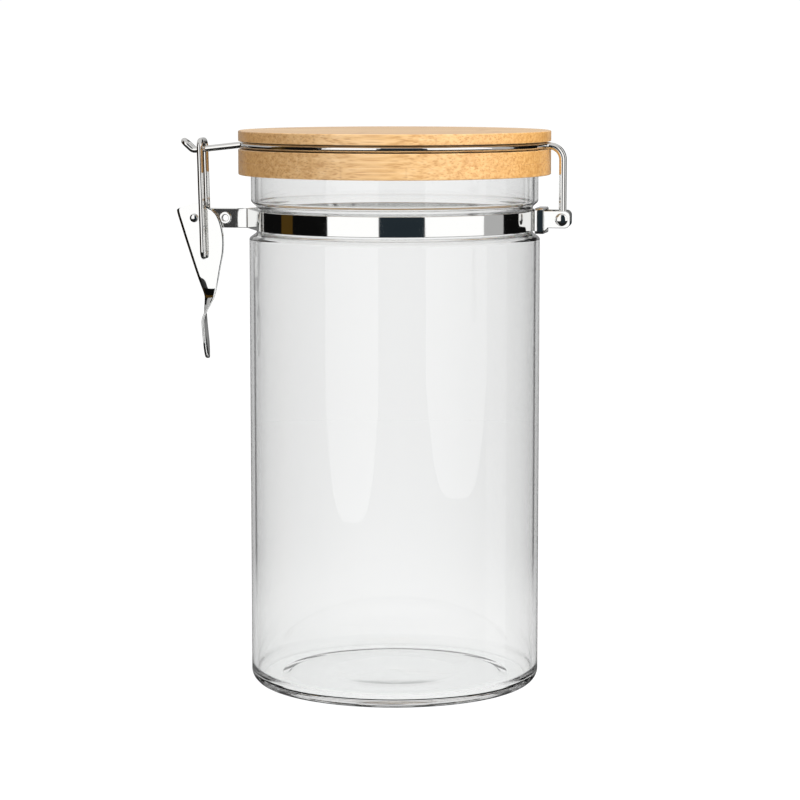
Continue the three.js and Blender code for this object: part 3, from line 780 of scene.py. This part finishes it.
# ---------------------------------------------------------------- toggle lever
LEVER_STATIONS = [  # distance below the pivot, half width, middle's offset towards the jar
    (-5, 6.3, 0.2),
    (-2.8, 6.4, 0.2),
    (-1, 7, 1.15),
    (2.1, 7.2, 2.3),
    (7, 6.9, 3.5),
    (12, 6, 4.2),
    (17, 4.7, 4.5),
    (22.6, 3.3, 4.9),
    (27, 2.6, 5.1),
    (29.6, 2.6, 4.5),
    (32, 3, 3.8),
    (35, 3.7, 3.3),
    (38, 4.1, 3.4),
    (43, 4.3, 3.8),
    (49, 4.2, 4.2),
]


def along_stations(drop, column):
    """A smooth curve through one column of the lever's stations."""
    drops = [row[0] for row in LEVER_STATIONS]
    values = [row[column] for row in LEVER_STATIONS]
    i = max(0, min(len(drops) - 2, sum(d <= drop for d in drops) - 1))

    def gradient(j):
        low = max(j - 1, 0)
        high = min(j + 1, len(drops) - 1)
        return (values[high] - values[low]) / (drops[high] - drops[low])

    span = drops[i + 1] - drops[i]
    t = (drop - drops[i]) / span
    start = (2 * t ** 3 - 3 * t ** 2 + 1) * values[i] + (t ** 3 - 2 * t ** 2 + t) * span * gradient(i)
    end = (3 * t ** 2 - 2 * t ** 3) * values[i + 1] + (t ** 3 - t ** 2) * span * gradient(i + 1)
    return start + end


def lever_plate():
    """A pressed blank, flat at the top, twisted a quarter turn and dished into a finger tail."""
    def surface_point(drop, across, depth):
        into_tip = max(0.0, min(0.995, (drop - lever_length + TIP_ROUND) / TIP_ROUND))
        half = along_stations(drop, 1) * math.sqrt(1 - into_tip ** 2)
        twist = math.radians(TAIL_TWIST) * smoothstep(drop, TWIST_START, TWIST_END)
        dish = TAIL_DISH * smoothstep(drop, TWIST_END - 4, TWIST_END + 8) * (1 - min(1, across ** 2))
        offset = depth + dish
        x = pivot.x + along_stations(drop, 2) + half * across * math.cos(twist) + offset * math.sin(twist)
        y = lever_y - half * across * math.sin(twist) + offset * math.cos(twist)
        return (x, y, band_z - drop)

    half_thick = LEVER_THICKNESS / 2
    columns = 28
    rows = 170
    rings = []
    for row in range(rows + 1):
        level = -LEVER_SHOULDER + (lever_length + LEVER_SHOULDER) * row / rows
        crown = (lever_top - LEVER_SHOULDER) * max(0.0, 1 - row / rows * 12)
        squeeze = {0: 0.5, 1: 0.85}.get(min(row, rows - row), 1.0)
        half = max(along_stations(level, 1), 0.5)
        coin = COINED_DEPTH * (1 - smoothstep(level, TWIST_START, TWIST_END))
        coined_share = min(0.8, COINED_WIDTH / half)

        def front(place):
            return -half_thick + coin * max(0.0, 1 - (place + 1) / coined_share)

        spread = 1 - LEVER_EDGE / half
        coined = [-1 + coined_share * part for part in (0.34, 0.66, 0.95, 1.05)]
        flat = [coined[-1] + (spread - coined[-1]) * (i + 1) / columns for i in range(columns)]
        section = [(place, front(place)) for place in [-spread] + coined + flat]
        left_front = front(-1)
        for turn in (-60, -30, 0, 30, 60):
            angle = math.radians(turn)
            section.append((spread + (1 - spread) * math.cos(angle), half_thick * math.sin(angle)))
        section += [(spread * (1 - 2 * i / columns), half_thick) for i in range(columns + 1)]
        middle = (half_thick + left_front) / 2
        for turn in (60, 30, 0, -30, -60):
            angle = math.radians(turn)
            depth = middle + (half_thick - middle) * math.sin(angle)
            section.append((-spread - (1 - spread) * math.cos(angle), depth))
        ring = []
        for place, depth in section:
            drop = level - crown * (1 - min(1, place ** 2))
            ring.append(surface_point(drop, place, depth * squeeze))
        rings.append(ring)
    lever = skin("lever_plate", rings, 40)
    low = lever_y - 2
    high = lever_y + 2
    cut(
        lever,
        rod_along_y(RIVET_SHANK + HOLE_ROOM, low, high, pivot.x, band_z),
        rod_along_y(WIRE_RADIUS + WIRE_ROOM + 0.15, low, high, link_hole.x, link_hole.z),
    )
    return finish_piece(lever, steel, "lever", "clamp_lever")


# ---------------------------------------------------------------- clamp link
def link_wire():
    """A closed loop of wire whose two ends meet inside the lever's hole."""
    gap = 0.05
    half = [
        (Vector((link_hole.x, lever_y - gap, link_hole.z)), 0),
        (Vector((link_hole.x, -link_half, link_hole.z)), PIN_BEND),
        (Vector((link_top_x, -link_half, link_top_z)), LINK_TOP_BEND),
        (Vector((link_top_x, link_half, link_top_z)), LINK_TOP_BEND),
        (Vector((link_hole.x, link_half, link_hole.z)), PIN_BEND),
        (Vector((link_hole.x, lever_y + gap, link_hole.z)), 0),
    ]
    return finish_piece(wire("link_wire", bent_path(half)), wire_steel, "link", "clamp_link")


# ---------------------------------------------------------------- lid bail
def bail_wire():
    """One wire: hinge pin, leg, round the lid's groove to the tongue and its hook, and back the same way."""
    half_tongue = TONGUE_SPACING / 2
    hook_x = link_top_x - 2 * WIRE_RADIUS - LATCH_ROOM
    hook_z = ring_z - TONGUE_DROP
    angle = math.radians(HOOK_ANGLE)
    tip = Vector((hook_x - HOOK_LENGTH * math.cos(angle), 0, hook_z + HOOK_LENGTH * math.sin(angle)))
    start = math.degrees(math.asin(hinge_leg / ring_radius))
    finish = 180 - math.degrees(math.asin(half_tongue / ring_radius))
    ring = arc(0, 0, ring_radius, start, finish, 96)
    pin_face = lug_y + STRIP_THICKNESS / 2 + HEAD_GAP
    pin_end = pin_face + PIN_HEAD_HEIGHT / 2
    tongue_x = -(lid_radius + WIRE_RADIUS)

    def half_path(side):
        corners = [
            ((hinge.x, pin_end, hinge.z), 0),
            ((hinge.x, hinge_leg, hinge.z), PIN_BEND),
            ((hinge.x, hinge_leg, ring_z - HINGE_DIP), HINGE_BEND),
            ((ring[0][0], hinge_leg, ring_z), RING_BEND),
        ]
        corners += [((x, y, ring_z), 0) for x, y in ring if ring[0][0] - 2.2 > x > ring[-1][0] + 2.2]
        corners += [
            ((ring[-1][0], half_tongue, ring_z), RING_BEND),
            ((tongue_x, half_tongue, ring_z - TONGUE_DIP), TONGUE_BEND),
            ((hook_x, half_tongue, hook_z), RING_BEND),
            ((tip.x, half_tongue, tip.z), half_tongue * 0.98),
        ]
        return [(Vector((x, side * y, z)), bend) for (x, y, z), bend in corners]

    bail = wire("bail_wire", bent_path(half_path(-1) + half_path(1)[::-1]))
    heads = []
    for side in (-1, 1):
        profile = [(0, pin_face), (PIN_HEAD - 0.1, pin_face)]
        profile += dome(PIN_HEAD, pin_face + 0.1, PIN_HEAD_HEIGHT - 0.1)
        head = revolve("pin_head", profile, 48, smooth_angle=50)
        if side < 0:
            head.data.transform(Matrix.Rotation(math.pi, 4, "X"))
        heads.append(lay_along_y(head, hinge.x, hinge.z))
    for head in heads:
        modifier = bail.modifiers.new("head", "BOOLEAN")
        modifier.operation = "UNION"
        modifier.solver = "EXACT"
        modifier.object = head
    graph = bpy.context.evaluated_depsgraph_get()
    bail.data = bpy.data.meshes.new_from_object(bail.evaluated_get(graph))
    bail.modifiers.clear()
    for head in heads:
        bpy.data.objects.remove(head)
    bail.data.shade_smooth()
    bail.data.set_sharp_from_angle(angle=math.radians(40))
    return finish_piece(bail, wire_steel, "bail", "lid_bail")


# ---------------------------------------------------------------- bamboo lid and seal
def softened(radius, bottom, top, low_edge, high_edge):
    """The profile of a disc from axis to axis, with its own rounding at the lower and upper edges."""
    profile = [(0, bottom), (radius * 0.5, bottom)]
    profile += arc(radius - low_edge, bottom + low_edge, low_edge, -90, 0, 5)
    profile += arc(radius - high_edge, top - high_edge, high_edge, 0, 90, 5)
    return profile + [(radius * 0.5, top), (0, top)]


def lid_pieces():
    def lid_piece(obj, material, node):
        return finish_piece(obj, material, "lid", node)

    disc = softened(lid_radius, top_low.z, top_high.z, LID_EDGE * 0.7, LID_EDGE)
    lid_piece(revolve("top_disc", disc), top_bamboo, "lid_top_disc")
    core = softened(core_high.x, core_low.z, core_high.z, 0.05, 0.05)
    lid_piece(revolve("groove_core", core), core_bamboo_painted_shade, "lid_groove_disc")

    plug_radius = plug_high.x
    recess_radius = lid_radius - SKIRT_WALL
    ceiling = gasket_high.z
    edge = LID_EDGE * 0.8
    upper = [(0, ply_low.z), (plug_radius, ply_low.z), (plug_radius, ceiling), (recess_radius, ceiling)]
    upper += [(recess_radius, ply_low.z), (lid_radius - 0.08, ply_low.z), (lid_radius, ply_low.z + 0.08)]
    upper += arc(lid_radius - edge, ply_high.z - edge, edge, 0, 90, 5) + [(0, ply_high.z)]
    lid_piece(revolve("upper_ply_bamboo", upper), upper_bamboo, "lid_upper_ply")

    skirt = [(recess_radius, skirt_low.z + 0.2), (recess_radius + 0.2, skirt_low.z)]
    skirt += arc(lid_radius - LID_EDGE, skirt_low.z + LID_EDGE, LID_EDGE, -90, 0, 5)
    skirt += [(lid_radius, skirt_high.z - 0.08), (lid_radius - 0.08, skirt_high.z)]
    skirt += [(recess_radius, skirt_high.z)]
    lid_piece(revolve("skirt_ring_bamboo", skirt, closed=True), lower_bamboo, "lid_skirt_ring")

    plug = softened(plug_radius, plug_low.z, plug_high.z, LID_EDGE, 0.02)
    lid_piece(revolve("centre_plug_bamboo", plug), lower_bamboo, "lid_centre_plug")


def gasket_ring():
    """A moulded flat seal with a shallow bead where it meets the rim."""
    inner = gasket_high.x - GASKET_WIDTH
    profile = []
    for i in range(25):
        share = i / 24
        bead = 0.22 * math.cos(2 * math.pi * 2 * share)
        profile.append((inner + 0.15 + (gasket_high.x - inner - 0.3) * share, gasket_low.z + 0.22 - bead))
    profile += [(gasket_high.x, gasket_low.z + 0.4), (gasket_high.x, gasket_high.z)]
    profile += [(inner, gasket_high.z), (inner, gasket_low.z + 0.4)]
    gasket = revolve("gasket_silicone", profile, closed=True)
    return finish_piece(gasket, silicone, "lid", "lid_gasket")


jar_glass()
half_band("band_front", -1, "front_half_band")
half_band("band_rear", 1, "rear_half_band")
collar_sleeve()
tie_rivet_tube()
lever_rivet_dome()
lever_plate()
link_wire()
bail_wire()
lid_pieces()
gasket_ring()


# ---------------------------------------------------------------- studio
def floor():
    """A white table top that fades into the white backdrop."""
    mesh = bpy.data.meshes.new("floor")
    reach = 6
    corners = [(-reach, -reach, 0), (reach, -reach, 0), (reach, reach, 0), (-reach, reach, 0)]
    mesh.from_pydata(corners, [], [(0, 1, 2, 3)])
    obj = bpy.data.objects.new("floor", mesh)
    bpy.context.scene.collection.objects.link(obj)
    n = Nodes("white_table")
    position = n.add("TexCoord").outputs["Object"]
    distance = n.add("VectorMath", {0: position}, operation="LENGTH").outputs["Value"]
    fade = n.ramp(distance, (0.10, 0.0), (0.7, 1.0))
    matt = n.add("BsdfDiffuse", {"Color": (0.9, 0.9, 0.9, 1)}).outputs[0]
    glow = n.add("Emission", {"Color": (1, 1, 1, 1), "Strength": 1.05}).outputs[0]
    n.output(n.add("MixShader", {0: n.math("MULTIPLY_ADD", fade, 0.25, 0.75), 1: matt, 2: glow}).outputs[0])
    obj.data.materials.append(n.material)
    obj.visible_glossy = False


def card(name, start, end, low, high, strength, colour=(1, 1, 1), round_bottom=0.0):
    """A curved panel round the set, seen only in reflections. Angles run from the front, -Y, towards +X."""
    radius = 1.5
    steps = 24
    vertices = []
    for i in range(steps + 1):
        share = i / steps
        angle = math.radians(start + (end - start) * share)
        lift = round_bottom * (2 * share - 1) ** 4
        x = radius * math.sin(angle)
        y = -radius * math.cos(angle)
        vertices += [(x, y, low + lift), (x, y, high)]
    faces = [(2 * i, 2 * i + 2, 2 * i + 3, 2 * i + 1) for i in range(steps)]
    mesh = bpy.data.meshes.new(name)
    mesh.from_pydata(vertices, [], faces)
    obj = bpy.data.objects.new(name, mesh)
    bpy.context.scene.collection.objects.link(obj)
    n = Nodes(name)
    glow = n.add("Emission", {"Color": (*colour, 1), "Strength": strength}).outputs[0]
    n.output(glow)
    mesh.materials.append(n.material)
    obj.visible_camera = False
    obj.visible_transmission = False
    obj.visible_diffuse = False
    obj.visible_shadow = False
    obj.visible_volume_scatter = False


def area_light(name, place, size, power, colour=(1, 1, 1)):
    data = bpy.data.lights.new(name, "AREA")
    data.shape = "RECTANGLE"
    data.size = size[0]
    data.size_y = size[1]
    data.energy = power
    data.color = colour
    obj = bpy.data.objects.new(name, data)
    bpy.context.scene.collection.objects.link(obj)
    obj.location = place
    aim = Vector((0, 0, 0.12)) - obj.location
    obj.rotation_euler = aim.to_track_quat("-Z", "Y").to_euler()
    obj.visible_camera = False
    obj.visible_glossy = False
    obj.visible_transmission = False


def studio_world():
    """White backdrop, with a dimmer sky in reflections and for soft light."""
    world = bpy.data.worlds.new("studio")
    bpy.context.scene.world = world
    world.use_nodes = True
    tree = world.node_tree
    tree.nodes.clear()
    add = tree.nodes.new
    link = tree.links.new
    path = add("ShaderNodeLightPath")
    seen = add("ShaderNodeMath")
    seen.operation = "MAXIMUM"
    link(path.outputs["Is Camera Ray"], seen.inputs[0])
    link(path.outputs["Is Transmission Ray"], seen.inputs[1])
    place = add("ShaderNodeTexCoord")
    axes = add("ShaderNodeSeparateXYZ")
    link(place.outputs["Generated"], axes.inputs[0])
    height = add("ShaderNodeMapRange")
    height.inputs["From Min"].default_value = -0.5
    height.inputs["From Max"].default_value = 0.7
    link(axes.outputs["Z"], height.inputs["Value"])
    sky = add("ShaderNodeValToRGB")
    stops = [(0.0, 0.02), (0.30, 0.10), (0.46, 0.55), (1.0, 0.95)]
    while len(sky.color_ramp.elements) < len(stops):
        sky.color_ramp.elements.new(0.5)
    for element, (position, grey) in zip(sky.color_ramp.elements, stops):
        element.position = position
        element.color = (grey, grey, grey, 1)
    link(height.outputs[0], sky.inputs["Fac"])
    dim = add("ShaderNodeBackground")
    link(sky.outputs["Color"], dim.inputs["Color"])
    dim.inputs["Strength"].default_value = 0.75
    white = add("ShaderNodeBackground")
    white.inputs["Color"].default_value = (1, 1, 1, 1)
    white.inputs["Strength"].default_value = 1.03
    mixed = add("ShaderNodeMixShader")
    link(seen.outputs[0], mixed.inputs[0])
    link(dim.outputs[0], mixed.inputs[1])
    link(white.outputs[0], mixed.inputs[2])
    output = add("ShaderNodeOutputWorld")
    link(mixed.outputs[0], output.inputs["Surface"])


def camera():
    data = bpy.data.cameras.new("camera")
    data.lens = 125.8
    data.sensor_width = 36
    data.clip_start = 0.05
    obj = bpy.data.objects.new("camera", data)
    bpy.context.scene.collection.objects.link(obj)
    obj.location = (0.1276, -0.9552, 0.2166)
    obj.rotation_euler = (math.radians(90 - 7.0), 0, math.radians(7.5))
    bpy.context.scene.camera = obj


floor()
studio_world()
card("softbox_left", -47.3, -5, -0.18, 1.6, 1.25, round_bottom=0.10)
card("dark_front", -4.5, 31, -0.6, 1.6, 0.035, (0.55, 0.8, 1.0))
card("softbox_right", 31.5, 83.5, -0.16, 1.6, 1.25, round_bottom=0.10)
card("grey_right", 83.5, 105.4, -0.6, 1.6, 0.5)
card("flag_right", 105.4, 158, -0.6, 1.6, 0.004)
card("flag_left", -82, -47.8, -0.6, 1.6, 0.004)
card("amber_left", -96, -82, -0.6, 1.6, 0.07, (1.0, 0.55, 0.1))
card("flag_far_left", -133.5, -96, -0.6, 0.25, 0.004)
area_light("key", (1.1, -0.7, 0.9), (0.8, 0.8), 25)
area_light("fill", (-1.1, -0.8, 0.7), (0.9, 0.9), 1.5)
area_light("top", (0.2, -0.1, 1.5), (1.2, 1.2), 8)
camera()

scene = bpy.context.scene
scene.view_settings.view_transform = "Standard"
scene.cycles.max_bounces = 24
scene.cycles.transmission_bounces = 20
scene.cycles.transparent_max_bounces = 16
scene.cycles.glossy_bounces = 12
